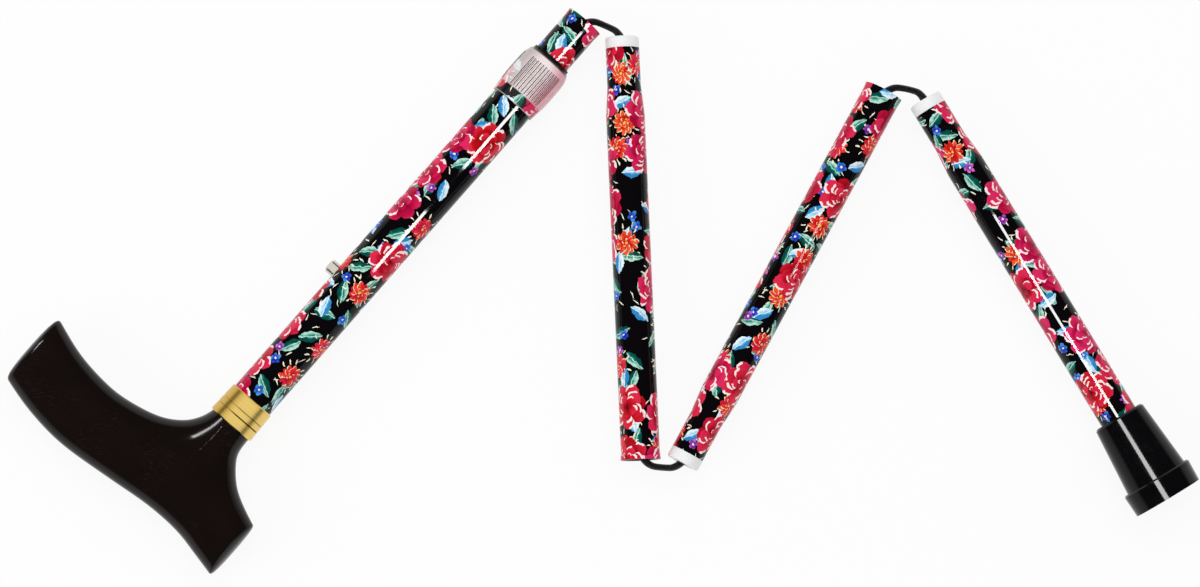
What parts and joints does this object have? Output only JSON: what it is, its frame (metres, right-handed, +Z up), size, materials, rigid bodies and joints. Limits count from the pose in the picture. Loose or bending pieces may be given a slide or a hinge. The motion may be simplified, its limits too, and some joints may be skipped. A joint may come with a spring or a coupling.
{
  "type": "folding cane",
  "caption": "Folding walking cane with a T-shaped palm handle, printed tubes on an elastic cord, a push-button and ring height lock, and a rubber tip, lying half folded.",
  "frame": {"origin": "middle of the bounding box of the half-folded cane, on the plane that its tip rests on", "axes": "+Z up, square to the plane of the tube axes; +X along the zigzag from handle to tip; +Y towards the first and third fold"},
  "size_m": [0.5803, 0.2782, 0.036],
  "materials": {
    "handle": "gloss",
    "brass_collar": "polished",
    "printed_tube": "gloss",
    "lock_ring": "gloss",
    "collet": "matte",
    "snap_button": "polished",
    "steel": "satin",
    "bush": "satin",
    "ferrule": "satin",
    "cord": "matte",
    "rubber_tip": "satin"
  },
  "bodies": {
    "handle_body": {"handle": "handle", "brass_collar": "brass_collar", "outer_tube": "printed_tube"},
    "collet_body": {"collet": "collet"},
    "lock_ring_body": {"lock_ring": "lock_ring"},
    "inner_tube_body": {"inner_tube": "printed_tube", "guide_bush": "bush", "button_spring": "steel", "cord_anchor_top": "bush", "cord_knot_top": "cord", "cord_run_1": "cord"},
    "button_body": {"snap_button": "snap_button"},
    "cord_link_1": {"cord_bridge_1": "cord"},
    "cord_guide_2": {"cord_lead_2": "cord"},
    "section_2": {"tube_2": "printed_tube", "ferrule_2": "ferrule", "cord_run_2": "cord"},
    "cord_link_2": {"cord_bridge_2": "cord"},
    "cord_guide_3": {"cord_lead_3": "cord"},
    "section_3": {"tube_3": "printed_tube", "ferrule_3": "ferrule", "cord_run_3": "cord"},
    "cord_link_3": {"cord_bridge_3": "cord"},
    "cord_guide_4": {"cord_lead_4": "cord"},
    "section_4": {"tube_4": "printed_tube", "ferrule_4": "ferrule", "cord_run_4": "cord", "cord_anchor_bottom": "bush", "cord_knot_bottom": "cord", "tip_washer": "steel", "rubber_tip": "rubber_tip"}
  },
  "joints": [
    {"name": "ring_advance", "type": "slide", "parent": "handle_body", "child": "collet_body", "axis": [0.6561, 0.7547, 0], "range_m": [0, 0.00125]},
    {"name": "ring_turn", "type": "hinge", "parent": "collet_body", "child": "lock_ring_body", "pos_m": [-0.03443, 0.10247, 0.018], "axis": [0.6561, 0.7547, 0], "range_deg": [0, 300.1]},
    {"name": "height_slide", "type": "slide", "parent": "handle_body", "child": "inner_tube_body", "axis": [0.6561, 0.7547, 0], "range_m": [0, 0.102]},
    {"name": "button_press", "type": "slide", "parent": "inner_tube_body", "child": "button_body", "axis": [0.7547, -0.6561, 0], "range_m": [0, 0.0059], "stiffness_N_per_m": 800, "springref_m": -0.003, "deforming": ["button_spring"]},
    {"name": "fold_1", "type": "hinge", "parent": "inner_tube_body", "child": "cord_link_1", "pos_m": [-0.00721, 0.13379, 0.018], "axis": [0, 0, -1], "range_deg": [-73, 20], "deforming": ["cord_bridge_1"]},
    {"name": "fold_1_lower", "type": "hinge", "parent": "cord_link_1", "child": "cord_guide_2", "pos_m": [0.00997, 0.12614, 0.018], "axis": [0, 0, -1], "range_deg": [-63.51, 17.41]},
    {"name": "plug_1", "type": "slide", "parent": "cord_guide_2", "child": "section_2", "axis": [0.0436, -0.999, 0], "range_m": [-0.04981, 0], "deforming": ["cord_lead_2", "cord_run_2"]},
    {"name": "fold_2", "type": "hinge", "parent": "section_2", "child": "cord_link_2", "pos_m": [0.01913, -0.08366, 0.018], "axis": [0, 0, 1], "range_deg": [-83, 16.5], "deforming": ["cord_bridge_2"]},
    {"name": "fold_2_lower", "type": "hinge", "parent": "cord_link_2", "child": "cord_guide_3", "pos_m": [0.03848, -0.08518, 0.018], "axis": [0, 0, 1], "range_deg": [-66.01, 13.13]},
    {"name": "plug_2", "type": "slide", "parent": "cord_guide_3", "child": "section_3", "axis": [0.4772, 0.8788, 0], "range_m": [-0.05041, 0], "deforming": ["cord_lead_3", "cord_run_3"]},
    {"name": "fold_3", "type": "hinge", "parent": "section_3", "child": "cord_link_3", "pos_m": [0.13869, 0.09937, 0.018], "axis": [0, 0, -1], "range_deg": [-74, 34], "deforming": ["cord_bridge_3"]},
    {"name": "fold_3_lower", "type": "hinge", "parent": "cord_link_3", "child": "cord_guide_4", "pos_m": [0.15724, 0.09525, 0.018], "axis": [0, 0, -1], "range_deg": [-46.51, 21.37]},
    {"name": "plug_3", "type": "slide", "parent": "cord_guide_4", "child": "section_4", "axis": [0.515, -0.8572, 0], "range_m": [-0.05001, 0], "deforming": ["cord_lead_4", "cord_run_4"]}
  ],
  "couplings": [
    {"joint": "ring_turn", "follows": "ring_advance", "rad_per_m": 4188.8},
    {"joint": "fold_1_lower", "follows": "fold_1", "ratio": 0.86986},
    {"joint": "fold_2_lower", "follows": "fold_2", "ratio": 0.79518},
    {"joint": "fold_3_lower", "follows": "fold_3", "ratio": 0.62838}
  ]
}
